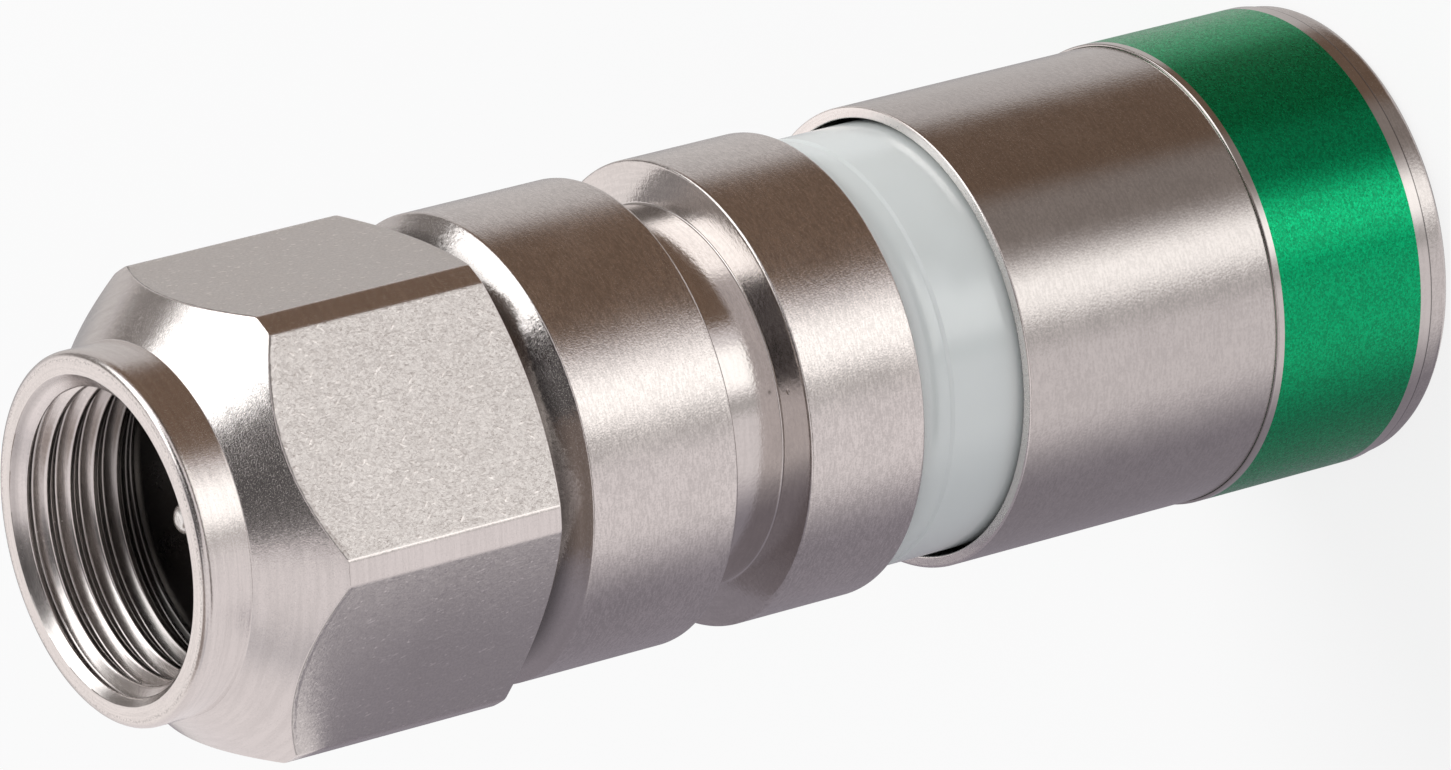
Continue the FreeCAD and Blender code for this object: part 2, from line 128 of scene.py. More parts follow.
class Tree:
    """A node tree that is filled through one method."""

    def __init__(self, tree):
        self.tree = tree
        tree.nodes.clear()

    def node(self, kind, settings=None, values=None):
        """Adds a node: its settings first, then the value or wire of each named or numbered input."""
        node = self.tree.nodes.new(kind)
        for name, setting in (settings or {}).items():
            setattr(node, name, setting)
        for name, value in (values or {}).items():
            if isinstance(value, Wire):
                self.tree.links.new(value.socket, node.inputs[name])
            else:
                node.inputs[name].default_value = value
        return Made(self, node)

    def math(self, operation, *operands):
        return self.node("ShaderNodeMath", {"operation": operation}, dict(enumerate(operands))).wire()

    def vector(self, operation, first, second):
        return self.node("ShaderNodeVectorMath", {"operation": operation}, {0: first, 1: second}).wire()

    def measure(self, operation, first, second):
        """Vector Math that gives a number, such as a dot product or a distance."""
        return self.node("ShaderNodeVectorMath", {"operation": operation}, {0: first, 1: second}).wire(1)

    def scale(self, vector, factor):
        return self.node("ShaderNodeVectorMath", {"operation": "SCALE"}, {0: vector, 3: factor}).wire()

    def step(self, value, low, high, to_low=0.0, to_high=1.0):
        """Soft step of a value between two limits."""
        return self.node("ShaderNodeMapRange", {"interpolation_type": "SMOOTHSTEP"}, {
            "Value": value, "From Min": low, "From Max": high, "To Min": to_low, "To Max": to_high,
        }).wire()

    def mix(self, factor, first, second):
        """Blend of two colours."""
        return self.node("ShaderNodeMix", {"data_type": "RGBA"}, {0: factor, 6: first, 7: second}).wire(2)

    def combine(self, x, y, z):
        return self.node("ShaderNodeCombineXYZ", None, {0: x, 1: y, 2: z}).wire()

    def split(self, vector):
        made = self.node("ShaderNodeSeparateXYZ", None, {0: vector})
        return made.wire(0), made.wire(1), made.wire(2)

    def noise(self, vector, scale, detail=2.0, roughness=0.5):
        return self.node("ShaderNodeTexNoise", None, {
            "Vector": vector, "Scale": scale, "Detail": detail, "Roughness": roughness,
        }).wire()


# Finishes


def new_material(name):
    material = bpy.data.materials.new(name)
    material.use_nodes = True
    return material, Tree(material.node_tree)


def tinted(colour, factor):
    """Lighter or darker colour, with no part above 1."""
    return tuple(min(1.0, part * factor) for part in colour)


def blend_tints(tree, factor, colour, darkest, lightest):
    """Blend of a darker and a lighter tint of one colour."""
    return tree.mix(factor, (*tinted(colour, darkest), 1), (*tinted(colour, lightest), 1))


def point_on_piece(tree):
    """Point on the piece in millimetres."""
    return tree.scale(tree.node("ShaderNodeTexCoord").wire(3), 1 / MM)


def place_on_piece(tree):
    """Point on the piece in millimetres, its parts, and its distance from the axis."""
    point = point_on_piece(tree)
    x, y, z = tree.split(point)
    return point, x, y, z, tree.math("SQRT", x * x + y * y)


def finish_surface(tree, shader_values, height):
    """Ends a tree in one shader whose normal follows a height in millimetres."""
    normal = tree.node("ShaderNodeBump", None, {"Strength": 1.0, "Distance": MM, "Height": height}).wire()
    shader = tree.node("ShaderNodeBsdfPrincipled", None, {**shader_values, "Normal": normal}).wire()
    tree.node("ShaderNodeOutputMaterial", None, {"Surface": shader})


def turning_lines(tree, x, y, z, radius, density, reach, detail=3.0):
    """Fine lines left by the lathe round the axis, on walls and end faces. A small reach makes long ones."""
    along = (z + 1.7 * radius) * density
    return tree.noise(tree.combine(x * reach, y * reach, along), 1.0, detail, 0.62)


def specks(tree, point, scale, share):
    """Round dots, one in every few cells, each with its own strength."""
    cells = tree.node("ShaderNodeTexVoronoi", None, {"Vector": point, "Scale": scale, "Randomness": 1.0})
    chosen = tree.node("ShaderNodeSeparateColor", None, {0: cells.wire(1)})
    picked = tree.step(chosen.wire(0), 1 - share, 1 - share * 0.6)
    return picked * tree.step(cells.wire(0), 0.42, 0.1) * (0.3 + chosen.wire(1) * 0.7)


def nicks(tree, point, scale, share):
    """Short scratches that lie in three directions."""
    marks = 0.0
    for way in ((0.62, 0.2, 0.76), (-0.7, 0.1, 0.7), (0.1, -0.3, -0.95)):
        along = tree.measure("DOT_PRODUCT", point, way)
        squeezed = tree.vector("ADD", point, tree.scale(way, along * -0.76))
        marks = specks(tree, squeezed, scale, share) + marks
    return marks


def dents(tree, point, places):
    """Small dents, each at a place in millimetres with its own size."""
    marks = 0.0
    for place, size in places:
        marks = tree.step(tree.measure("DISTANCE", point, place), 0.0, size, 1.0, 0.0) + marks
    return marks


def facets(tree, point, scale, share, calm):
    """Height of small flat crystals, each tilted its own way. All but a share of them are calmer."""
    cells = tree.node("ShaderNodeTexVoronoi", None, {"Vector": point, "Scale": scale})
    lean = tree.vector("SUBTRACT", cells.wire(1), (0.5,) * 3)
    away = tree.vector("SUBTRACT", point, cells.wire(2))
    height = tree.measure("DOT_PRODUCT", lean, away)
    picked = tree.node("ShaderNodeTexWhiteNoise", None, {"Vector": cells.wire(2)}).wire(0)
    return height * tree.step(picked, 1 - share, 1 - share * 0.7, calm, 1.0)


def plated_metal(name, colour, roughness, lines=(11.0, 0.0, 0.3), grain=(14.0, 0.0),
                 crystals=(8.0, 0.0, 1.0, 1.0), scratches=(12.0, 0.0, 0.1), cloud=(0.5, 0.03), tone=0.05,
                 painted_shade_below=None, painted_shade_beyond=None, pits=(), rim=None, worn=None):
    """Nickel-tin plating with marks of its making. Depths are millimetres.

    Lines are the lathe's, as (scale, depth, reach), grain is (scale, depth), crystals are (scale, tilt,
    share of strong ones, calm of the others), scratches (scale, depth, share), and cloud (scale, uneven
    roughness). Painted shade below holds two heights and how bright the metal is below them, and painted
    shade beyond holds two radii and how bright it is past the second; both darken the colour where shade
    falls, in a deep bore, under an edge, in thread roots and where the nut hangs over a bevel. A rim is the
    sum of height and radius along the edge that a flat shares with a cone, and worn is the radius and height
    of an end face's edge with small dark nicks.
    """
    line_scale, line_depth, line_reach = lines
    grain_scale, grain_depth = grain
    crystal_scale, crystal_tilt, strong_share, calm = crystals
    scratch_scale, scratch_depth, scratch_share = scratches
    cloud_scale, uneven = cloud
    material, tree = new_material(name)
    point, x, y, z, radius = place_on_piece(tree)
    line = turning_lines(tree, x, y, z, radius, line_scale, line_reach)
    fine = tree.noise(point, grain_scale, 2.0, 0.6)
    patch = tree.noise(point, cloud_scale, 3.0, 0.55)
    mark = line * 0.55 + fine * 0.45 if line_depth else fine
    shade = tree.step(mark + (patch - 0.5) * 0.2, 0.38, 0.62, 1 - tone, 1 + tone)
    base = tree.scale(tuple(colour), shade)
    # Painted shade: the colour is darkened below two heights.
    if painted_shade_below:
        base = tree.scale(base, tree.step(z, painted_shade_below[0], painted_shade_below[1], painted_shade_below[2], 1.0))
    # Painted shade: the colour is darkened past two radii.
    if painted_shade_beyond:
        base = tree.scale(base, tree.step(radius, painted_shade_beyond[0], painted_shade_beyond[1], 1.0, painted_shade_beyond[2]))
    rough = roughness + (patch - 0.5) * uneven * 4 + (fine - 0.5) * 0.08
    height = line * line_depth + fine * grain_depth
    if scratch_depth:
        marks = nicks(tree, point, scratch_scale, scratch_share)
        height = height + marks * scratch_depth
        base = tree.scale(base, marks * 0.38 + 1.0)
    if pits:
        height = height - dents(tree, point, pits) * 0.05
    if worn:
        edge, face = worn
        beside = tree.math("ABSOLUTE", radius - edge + (patch - 0.5) * 0.15)
        nicked = tree.step(beside, 0.07, 0.02) * tree.step(tree.noise(point, 15.0, 2.0, 0.6), 0.48, 0.6)
        on_face = tree.step(z, face - 0.2, face - 0.1)
        base = tree.scale(base, 1 - nicked * on_face * 0.26)
    if rim:
        burr = tree.noise(point, 3.0, 3.0, 0.6)
        behind = rim - z - radius + (burr - 0.5) * 0.12
        ridge = tree.step(behind, 0.0, 0.07) * tree.step(behind, 0.2, 0.07)
        height = height + ridge * burr * 0.03
        base = tree.scale(base, tree.step(behind, 0.03, 0.08, 0.6, 1.0))
    if crystal_tilt:
        height = height + facets(tree, point, crystal_scale, strong_share, calm) * crystal_tilt
    finish_surface(tree, {"Base Color": base, "Metallic": 1.0, "Roughness": rough}, height)
    return material


def white_acetal(colour):
    """Glossy moulded plastic that lets a little light in."""
    material, tree = new_material("white_acetal")
    point, x, y, z, radius = place_on_piece(tree)
    patch = tree.noise(point, 0.35, 2.0, 0.5)
    line = turning_lines(tree, x, y, z, radius, 3.0, 0.12, 2.0)
    finish_surface(tree, {
        "Base Color": blend_tints(tree, patch, colour, 0.97, 1.03), "Roughness": 0.17 + (line - 0.5) * 0.1,
        "IOR": 1.6, "Specular IOR Level": 0.9,
        "Subsurface Weight": 0.25, "Subsurface Radius": (0.0016, 0.0016, 0.0017), "Subsurface Scale": 0.6,
    }, line * 0.0012 + patch * 0.01)
    return material


def foil_print(colour):
    """Metallic ink of fine flakes under clear film."""
    material, tree = new_material("green_foil")
    point = point_on_piece(tree)
    flakes = tree.node("ShaderNodeTexVoronoi", None, {"Vector": point, "Scale": 18.0}).wire(1)
    bright = tree.node("ShaderNodeSeparateColor", None, {0: flakes})
    cloud = tree.noise(point, 14.0, 3.0, 0.7)
    light = tree.step(bright.wire(0) * 0.6 + cloud * 0.4, 0.15, 0.85)
    finish_surface(tree, {
        "Base Color": blend_tints(tree, light, colour, 0.8, 1.38), "Metallic": 0.96,
        "Roughness": 0.32 + (bright.wire(1) - 0.5) * 0.2, "Coat Weight": 0.12, "Coat Roughness": 0.12,
    }, bright.wire(2) * 0.0012 + cloud * 0.0025)
    return material


def moulded_plastic(name, colour, roughness, scale=6.0):
    """Plain moulded plastic or rubber with a fine uneven skin."""
    material, tree = new_material(name)
    skin = tree.noise(point_on_piece(tree), scale, 3.0, 0.6)
    finish_surface(tree, {
        "Base Color": blend_tints(tree, skin, colour, 0.85, 1.15),
        "Roughness": roughness + (skin - 0.5) * 0.15,
    }, skin * 0.006)
    return material


# Meshes


def rounded(corners):
    """Closed outline of (radius, height, round) corners, with rounds in straight runs of about 18 degrees.

    A point is added just beyond both ends of every round, so that smooth shading stays within it.
    """
    outline = []
    for index, (radius, height, bend) in enumerate(corners):
        here = Vector((radius, height))
        if not bend:
            outline.append(here)
            continue
        back = Vector(corners[index - 1][:2]) - here
        ahead = Vector(corners[(index + 1) % len(corners)][:2]) - here
        half = back.angle(ahead) / 2
        reach = bend / math.tan(half)
        centre = here + (back.normalized() + ahead.normalized()).normalized() * (bend / math.sin(half))
        first = here + back.normalized() * reach - centre
        sweep = first.angle_signed(here + ahead.normalized() * reach - centre)
        guard = 0.35 * bend
        runs = max(2, round(abs(math.degrees(sweep)) / 18))
        outline.append(here + back.normalized() * (reach + guard))
        for run in range(runs + 1):
            turn = Matrix.Rotation(-sweep * run / runs, 2)
            outline.append(centre + turn @ first)
        outline.append(here + ahead.normalized() * (reach + guard))
    return outline


def mesh_object(name, mesh):
    piece = bpy.data.objects.new(name, mesh)
    bpy.context.scene.collection.objects.link(piece)
    return piece


def points_object(name, points):
    """Mesh of bare points, given in millimetres, that a node tree reads."""
    mesh = bpy.data.meshes.new(name)
    mesh.from_pydata([tuple(part * MM for part in point) for point in points], [], [])
    return mesh_object(name, mesh)


def group_tree(name, inputs):
    """Geometry node tree with a geometry input and output, and the wires of its named inputs."""
    group = bpy.data.node_groups.new(name, "GeometryNodeTree")
    group.interface.new_socket("Geometry", in_out="INPUT", socket_type="NodeSocketGeometry")
    for label, kind in inputs:
        group.interface.new_socket(label, in_out="INPUT", socket_type=kind)
    group.interface.new_socket("Geometry", in_out="OUTPUT", socket_type="NodeSocketGeometry")
    tree = Tree(group)
    given = tree.node("NodeGroupInput")
    labels = ["Geometry"] + [label for label, kind in inputs]
    return tree, {label: given.wire(label) for label in labels}


def count_points(tree, geometry):
    return tree.node("GeometryNodeAttributeDomainSize", {"component": "MESH"}, {0: geometry}).wire()


def grid_rows(tree, columns, rows):
    """Grid mesh, with the column and row of each of its points."""
    grid = tree.node("GeometryNodeMeshGrid", None, {"Vertices X": columns, "Vertices Y": rows}).wire()
    index = tree.node("GeometryNodeInputIndex").wire()
    column = tree.math("FLOOR", (index + 0.5) / rows)
    return grid, column, index - column * rows


def read_point(tree, geometry, index):
    """Position of one numbered point of a geometry."""
    place = tree.node("GeometryNodeInputPosition").wire()
    made = tree.node("GeometryNodeSampleIndex", {"data_type": "FLOAT_VECTOR", "domain": "POINT"})
    socket = [item for item in made.node.inputs if item.name == "Value" and item.type == "VECTOR"][0]
    tree.tree.links.new(geometry.socket, made.node.inputs["Geometry"])
    tree.tree.links.new(place.socket, socket)
    tree.tree.links.new((index + 0.5).socket, made.node.inputs["Index"])
    return tree.split(made.wire([item.name for item in made.node.outputs if item.enabled][0]))


def end_tree(tree, grid, position, material):
    """Moves a grid's points to their place, closes its seams and gives it a material."""
    moved = tree.node("GeometryNodeSetPosition", None, {"Geometry": grid, "Position": position}).wire()
    closed = tree.node("GeometryNodeMergeByDistance", None, {"Geometry": moved, "Distance": SEAM}).wire()
    real = tree.node("GeometryNodeRealizeInstances", None, {"Geometry": closed}).wire()
    done = tree.node("GeometryNodeSetMaterial", None, {"Geometry": real, "Material": material}).wire()
    tree.node("NodeGroupOutput", None, {0: done})


def lathe_tree():
    """Node tree that turns a closed outline of points, in the XZ plane, round the axis."""
    tree, given = group_tree("turned_piece", [
        ("Steps Round", "NodeSocketInt"), ("Finish", "NodeSocketMaterial"),
    ])
    count = count_points(tree, given["Geometry"])
    steps = given["Steps Round"]
    grid, column, row = grid_rows(tree, steps + 1, count + 1)
    across, _, height = read_point(tree, given["Geometry"], tree.math("FLOORED_MODULO", row, count))
    angle = column * math.tau / steps
    position = tree.combine(across * tree.math("COSINE", angle), across * tree.math("SINE", angle), height)
    end_tree(tree, grid, position, given["Finish"])


def thread_tree():
    """Node tree that makes a threaded wall from one turn of the thread's helix, given as points.

    A point holds the cosine and sine of its angle, and the share of a turn as its height.
    """
    lengths = ["Minor Radius", "Major Radius", "Pitch", "Base", "Face", "Mouth Radius", "Relief Radius"]
    tree, given = group_tree("threaded_bore", [
        *((label, "NodeSocketFloat") for label in lengths),
        ("Crest Share", "NodeSocketFloat"), ("Root Share", "NodeSocketFloat"),
        ("Rows Per Pitch", "NodeSocketInt"), ("Finish", "NodeSocketMaterial"),
    ])
    minor, major, pitch, base, face, mouth, relief = (given[label] for label in lengths)
    columns = count_points(tree, given["Geometry"])
    turns = tree.math("CEIL", (face - base) / pitch) + 1
    grid, column, row = grid_rows(tree, columns, turns * given["Rows Per Pitch"] + 1)
    cosine, sine, share = (part / MM for part in read_point(tree, given["Geometry"], column))
    raw = base + (row / given["Rows Per Pitch"] - 1 + share) * pitch
    height = tree.math("MINIMUM", tree.math("MAXIMUM", raw, base), face)
    above_zero = 4
    phase = tree.math("FRACT", (height - base) / pitch - share + above_zero)
    from_crest = tree.math("ABSOLUTE", phase - 0.5)
    crest = given["Crest Share"] / 2
    flank = 0.5 - given["Root Share"] / 2 - crest
    depth = tree.node("ShaderNodeClamp", None, {0: (from_crest - crest) / flank}).wire()
    wall = minor + (major - minor) * depth
    lead = tree.math("MAXIMUM", mouth - (face - height), relief - (height - base))
    radius = tree.math("MAXIMUM", wall, lead)
    position = tree.combine(radius * cosine, radius * sine, height)
    end_tree(tree, grid, position, given["Finish"])


def run_tree(source, group, name, values):
    """Plain mesh that a node tree makes from a source object. The source is removed."""
    modifier = source.modifiers.new("shape", "NODES")
    modifier.node_group = group
    for item in group.interface.items_tree:
        if item.in_out == "INPUT" and item.name in values:
            modifier[item.identifier] = values[item.name]
    bpy.context.view_layer.update()
    depsgraph = bpy.context.evaluated_depsgraph_get()
    mesh = bpy.data.meshes.new_from_object(source.evaluated_get(depsgraph), depsgraph=depsgraph)
    mesh.name = name
    source.modifiers.remove(modifier)
    bpy.data.objects.remove(source)
    return mesh


def tidy_mesh(mesh):
    """Closes seams, drops what has no area, and turns every face outwards and smooth."""
    work = bmesh.new()
    work.from_mesh(mesh)
    bmesh.ops.remove_doubles(work, verts=work.verts, dist=SEAM)
    bmesh.ops.dissolve_degenerate(work, edges=work.edges, dist=NO_LENGTH)
    loose = [edge for edge in work.edges if not edge.link_faces]
    bmesh.ops.delete(work, geom=loose, context="EDGES")
    bmesh.ops.delete(work, geom=[vert for vert in work.verts if not vert.link_faces], context="VERTS")
    bmesh.ops.recalc_face_normals(work, faces=work.faces)
    for face in work.faces:
        face.smooth = True
    work.to_mesh(mesh)
    work.free()


def turned(name, corners, steps, materials):
    """Piece turned from a closed outline. The first material covers it."""
    outline = points_object(name + "_outline", [(point.x, 0, point.y) for point in rounded(corners)])
    mesh = run_tree(outline, bpy.data.node_groups["turned_piece"], name, {
        "Steps Round": steps, "Finish": materials[0],
    })
    tidy_mesh(mesh)
    mesh.materials.clear()
    for material in materials:
        mesh.materials.append(material)
    return mesh_object(name, mesh)


def paint(piece, finish):
    """Gives each face of a piece the material that its middle and its distance from the axis call for."""
    work = bmesh.new()
    work.from_mesh(piece.data)
    for face in work.faces:
        centre = face.calc_center_median() / MM
        face.material_index = finish(centre, math.hypot(centre.x, centre.y))
    work.to_mesh(piece.data)
    work.free()


def hand_over(piece, body, slot, *nodes):
    """Tells the frame what a piece rides on and hides the nodes that it stands for. The slot is not used."""
    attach(piece, body)
    if nodes:
        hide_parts(*nodes)


# The nut


def hexagon_radius(angle, sizes):
    """Distance from the axis to the nut's side at an angle, with its corners turned off."""
    from_flat = (angle + math.radians(90)) % SIXTH
    from_flat = min(from_flat, SIXTH - from_flat)
    return min(sizes.across_flats / MM / 2 / math.cos(from_flat), sizes.corner_radius / MM)


def nut_angles(sizes):
    """Angles of the nut's mesh, closer together at the edges of its flats."""
    edge = math.acos(sizes.across_flats / 2 / sizes.corner_radius)
    corner = SIXTH / 2
    slip = math.radians(0.35)
    guard = 2.2 * slip
    flat = [(edge - guard) * step / 12 for step in range(-12, 13)]
    strip = [corner + (corner - edge - guard) * step / 2 for step in range(-2, 3)]
    sector = flat + [edge - slip, edge + slip] + strip + [SIXTH - edge - slip, SIXTH - edge + slip]
    first = math.radians(-90)
    return [first + SIXTH * side + angle for side in range(6) for angle in sector]


def nut_profile(side, sizes):
    """Outline of the nut's outside at one angle, from the mouth to the thread's far end."""
    top = sizes.nut_top / MM
    nose = sizes.nose_radius / MM
    mouth = sizes.mouth_radius / MM
    thread_end = sizes.thread_base / MM
    cone_top = top - sizes.nose_length / MM
    base = NUT_LOW.z
    rear = 6.5
    rear_slope = 0.45 / 0.975
    skirt_bore, skirt_end = 5.25, 33.89
    hole, hole_end = 3.67, 35.24
    return rounded([
        (mouth, top, 0),
        (mouth + 0.02, top, 0),
        (nose, top, 0.25),
        (nose, cone_top, 0.06),
        (side, cone_top - (side - nose), 0.07),
        (side, base + (side - rear) * rear_slope, 0.07),
        (rear, base, 0.05),
        (skirt_bore + 0.2, base, 0.03),
        (skirt_bore, base + 0.2, 0.03),
        (skirt_bore, skirt_end, 0),
        (hole, skirt_end, 0.04),
        (hole, hole_end, 0.04),
        (RELIEF_RADIUS, hole_end, 0),
        (RELIEF_RADIUS, thread_end - 0.3, 0),
        (RELIEF_RADIUS, thread_end, 0),
    ])


def nut_shell(angles, sizes):
    """Vertices and faces of the nut's outside, mouth and skirt, without its threaded wall."""
    profiles = [nut_profile(hexagon_radius(angle, sizes), sizes) for angle in angles]
    rows = len(profiles[0])
    vertices = [
        (point.x * math.cos(angle) * MM, point.x * math.sin(angle) * MM, point.y * MM)
        for angle, profile in zip(angles, profiles) for point in profile
    ]
    faces = []
    for column in range(len(angles)):
        beside = (column + 1) % len(angles)
        for row in range(rows - 1):
            here, there = column * rows + row, beside * rows + row
            faces.append((here, there, there + 1, here + 1))
    return vertices, faces


def nut_finish(sizes):
    """Rule for a face's finish: 0 milled flats, 1 turned outside, 2 polished thread, 3 relief with painted
    shade.
    """
    top, base = sizes.nut_top / MM, sizes.thread_base / MM
    flat = sizes.across_flats / MM / 2
    slack = 0.004
    strip = sizes.corner_radius / MM - 3 * slack

    def finish(centre, radius):
        if radius < RELIEF_RADIUS + 0.1 and centre.z < top - slack / 2:
            return 2 if centre.z > base + 0.4 else 3
        turn = (math.atan2(centre.y, centre.x) + math.radians(90) + SIXTH / 2) % SIXTH - SIXTH / 2
        return 0 if abs(radius * math.cos(turn) - flat) < slack and radius < strip else 1

    return finish


# Settings


def length_property(name, description, default):
    return bpy.props.FloatProperty(name=name, description=description, default=default * MM,
                                   unit="LENGTH", precision=5)


def colour_property(name, description, default):
    return bpy.props.FloatVectorProperty(name=name, description=description, default=default,
                                         subtype="COLOR", size=3, min=0, max=1)


class ConnectorSizes(bpy.types.PropertyGroup):
    """Sizes of the pieces that the looks are built from."""

    across_flats: length_property("Across Flats", "Width of the nut between two flats",
                                  NUT_HIGH.y - NUT_LOW.y)
    corner_radius: length_property("Corner Radius", "Radius that the nut's corners are turned to",
                                   NUT_HIGH.x)
    nut_top: length_property("Nut Top", "Height of the nut's face above the cable end", NUT_HIGH.z)
    nose_radius: length_property("Nose Radius", "Radius of the nut's round nose", 5.5)
    nose_length: length_property("Nose Length", "Length of the nose in front of the cone", 1.55)
    thread_minor: length_property("Thread Minor Radius", "Radius at the thread's crests", 4.39)
    thread_major: length_property("Thread Major Radius", "Radius at the thread's roots", 4.7625)
    thread_pitch: length_property("Thread Pitch", "Distance from one crest to the next", 0.79375)
    thread_base: length_property("Thread Base", "Height at which the thread starts", 39.19)
    mouth_radius: length_property("Mouth Radius", "Radius of the chamfer at the thread's mouth", 4.84)
    shell_radius: length_property("Shell Radius", "Radius of the sleeve and of the body's lands",
                                  SLEEVE_HIGH.x)
    foil_margin: length_property("Foil Margin", "Bare film beside the printed green", 0.25)
    steps_round: bpy.props.IntProperty(name="Steps Round", description="Faces round a turned piece",
                                       default=256, min=32, max=512)


class ConnectorColours(bpy.types.PropertyGroup):
    """Colours of the finishes."""

    plating: colour_property("Plating", "Nickel-tin plating of the outer pieces", (0.66, 0.625, 0.605))
    inner_plating: colour_property("Inner Plating", "Plating of the post and ferrule", (0.7, 0.68, 0.64))
    pin: colour_property("Pin", "Plating of the centre pin", (0.84, 0.83, 0.81))
    acetal: colour_property("Insert", "White plastic of the insert", (0.68, 0.715, 0.71))
    foil: colour_property("Foil", "Metallic green of the band", (0.0, 0.34, 0.13))
    floor: colour_property("Floor", "Pale floor", (0.86, 0.86, 0.86))


def sizes_now():
    return bpy.context.scene.connector_sizes


def colours_now():
    return bpy.context.scene.connector_colours


# Operators


class CONNECTOR_OT_tools(bpy.types.Operator):
    """Adds the node trees that the pieces are made with"""

    bl_idname = "connector.tools"
    bl_label = "Shape Trees"

    def execute(self, context):
        lathe_tree()
        thread_tree()
        return {"FINISHED"}


class CONNECTOR_OT_nut(bpy.types.Operator):
    """Builds the hexagon coupling nut with its thread"""

    bl_idname = "connector.nut"
    bl_label = "Coupling Nut"

    def execute(self, context):
        sizes, plating = sizes_now(), tuple(colours_now().plating)
        angles = nut_angles(sizes)
        helix = [(math.cos(angle), math.sin(angle), (angle - angles[0]) / math.tau)
                 for angle in angles + [angles[0] + math.tau]]
        source = points_object("thread_turn", helix)
        cone_sum = (sizes.nut_top - sizes.nose_length + sizes.nose_radius) / MM
        milled = plated_metal("milled_flats", (0.67, 0.645, 0.625), 0.37, grain=(13.0, 0.01),
                              crystals=(10.0, 0.13, 0.15, 0.7), scratches=(9.0, 0.003, 0.16),
                              cloud=(0.5, 0.02), tone=0.05, rim=cone_sum)
        outside = plated_metal("turned_nut", tinted(plating, 1.1), 0.2,
                               lines=(9.0, 0.002, 0.4), grain=(22.0, 0.0028),
                               crystals=(14.0, 0.03, 1.0, 1.0), cloud=(0.6, 0.02),
                               worn=(sizes.nose_radius / MM - 0.25, sizes.nut_top / MM))
        depth = sizes.thread_base / MM
        # The thread wall is darkened towards its deep end and in its roots: painted shade in the bore.
        polished = plated_metal("thread_wall", tinted(plating, 1.22), 0.24,
                                lines=(5.0, 0.0012, 0.12), grain=(8.0, 0.001),
                                painted_shade_below=(depth + 0.2, depth + 2.2, 0.3), painted_shade_beyond=(4.6, 4.74, 0.75))
        # A quarter-bright copy of the plating for the relief and the thread's first 0.4 mm: painted shade in
        # the recess.
        relief = plated_metal("relief_painted_shade", tinted(plating, 0.25), 0.3)
        wall = run_tree(source, bpy.data.node_groups["threaded_bore"], "thread_wall", {
            "Minor Radius": sizes.thread_minor, "Major Radius": sizes.thread_major,
            "Pitch": sizes.thread_pitch, "Base": sizes.thread_base, "Face": sizes.nut_top,
            "Mouth Radius": sizes.mouth_radius, "Relief Radius": RELIEF_RADIUS * MM,
            "Crest Share": 0.2, "Root Share": 0.16,
            "Rows Per Pitch": 24, "Finish": polished,
        })
        vertices, faces = nut_shell(angles, sizes)
        mesh = bpy.data.meshes.new("coupling_nut_turned")
        mesh.from_pydata(vertices, [], faces)
        work = bmesh.new()
        work.from_mesh(mesh)
        work.from_mesh(wall)
        bmesh.ops.remove_doubles(work, verts=work.verts, dist=SEAM)
        work.to_mesh(mesh)
        work.free()
        tidy_mesh(mesh)
        for material in (milled, outside, polished, relief):
            mesh.materials.append(material)
        bpy.data.meshes.remove(wall)
        nut = mesh_object("hex_nut", mesh)
        paint(nut, nut_finish(sizes))
        hand_over(nut, "nut", "grained_plating", "coupling_nut")
        return {"FINISHED"}


class CONNECTOR_OT_body(bpy.types.Operator):
    """Builds the grooved body"""

    bl_idname = "connector.body"
    bl_label = "Body"

    def execute(self, context):
        sizes, plating = sizes_now(), tuple(colours_now().plating)
        shell = sizes.shell_radius / MM
        groove_floor, wall_lean = 5.7, 0.08
        bevel_rear, bevel_front, bevel_radius = 31.21, 32.06, 6.15
        shoulder, shoulder_front = 5.1, 32.34
        neck, neck_front, bore = 3.96, 33.79, 3.61
        post_seat, post_seat_rear, post_seat_front = 4.61, 22.98, 28.98
        insert_seat, insert_seat_end = SEAT_RADIUS + 0.01, 22.43
        satin = plated_metal("turned_body", plating, 0.21, lines=(14.0, 0.0026, 3.6), grain=(18.0, 0.0052),
                             cloud=(0.5, 0.03), tone=0.13)
        groove = plated_metal("polished_groove", plating, 0.15, lines=(8.0, 0.0016, 0.8),
                              grain=(9.0, 0.004), pits=GROOVE_PITS)
        # The bevel is darkened inwards, where the nut hangs over it: painted shade.
        bevel = plated_metal("body_bevel", plating, 0.17, lines=(8.0, 0.0022, 0.3), grain=(14.0, 0.002),
                             crystals=(14.0, 0.05, 1.0, 1.0), painted_shade_beyond=(6.75, 6.3, 0.4))
        body = turned("grooved_body", [
            (insert_seat, BODY_REAR, 0.03),
            (shell, BODY_REAR, 0.12),
            (shell, GROOVE_REAR, 0.09),
            (groove_floor, GROOVE_REAR + wall_lean, 0.06),
            (groove_floor, GROOVE_FRONT, 0.05),
            (shell, GROOVE_FRONT, 0.12),
            (shell, bevel_rear, 0.1),
            (bevel_radius, bevel_front, 0.05),
            (shoulder, bevel_front, 0.05),
            (shoulder, shoulder_front, 0.08),
            (neck, shoulder_front, 0.06),
            (neck, neck_front, 0.05),
            (bore, neck_front, 0.03),
            (bore, post_seat_front, 0),
            (post_seat, post_seat_front, 0),
            (post_seat, post_seat_rear, 0),
            (INSERT_BORE, post_seat_rear, 0),
            (INSERT_BORE, insert_seat_end, 0),
            (insert_seat, insert_seat_end, 0),
        ], sizes.steps_round, [satin, bevel, groove])

        def finish(centre, radius):
            if GROOVE_REAR - 0.07 < centre.z < GROOVE_FRONT + 0.06 and radius < shell - 0.08:
                return 2
            return 1 if centre.z > bevel_rear - 0.01 and radius > bevel_radius - 0.05 else 0

        paint(body, finish)
        hand_over(body, "shell", "satin_plating", "connector_body")
        return {"FINISHED"}


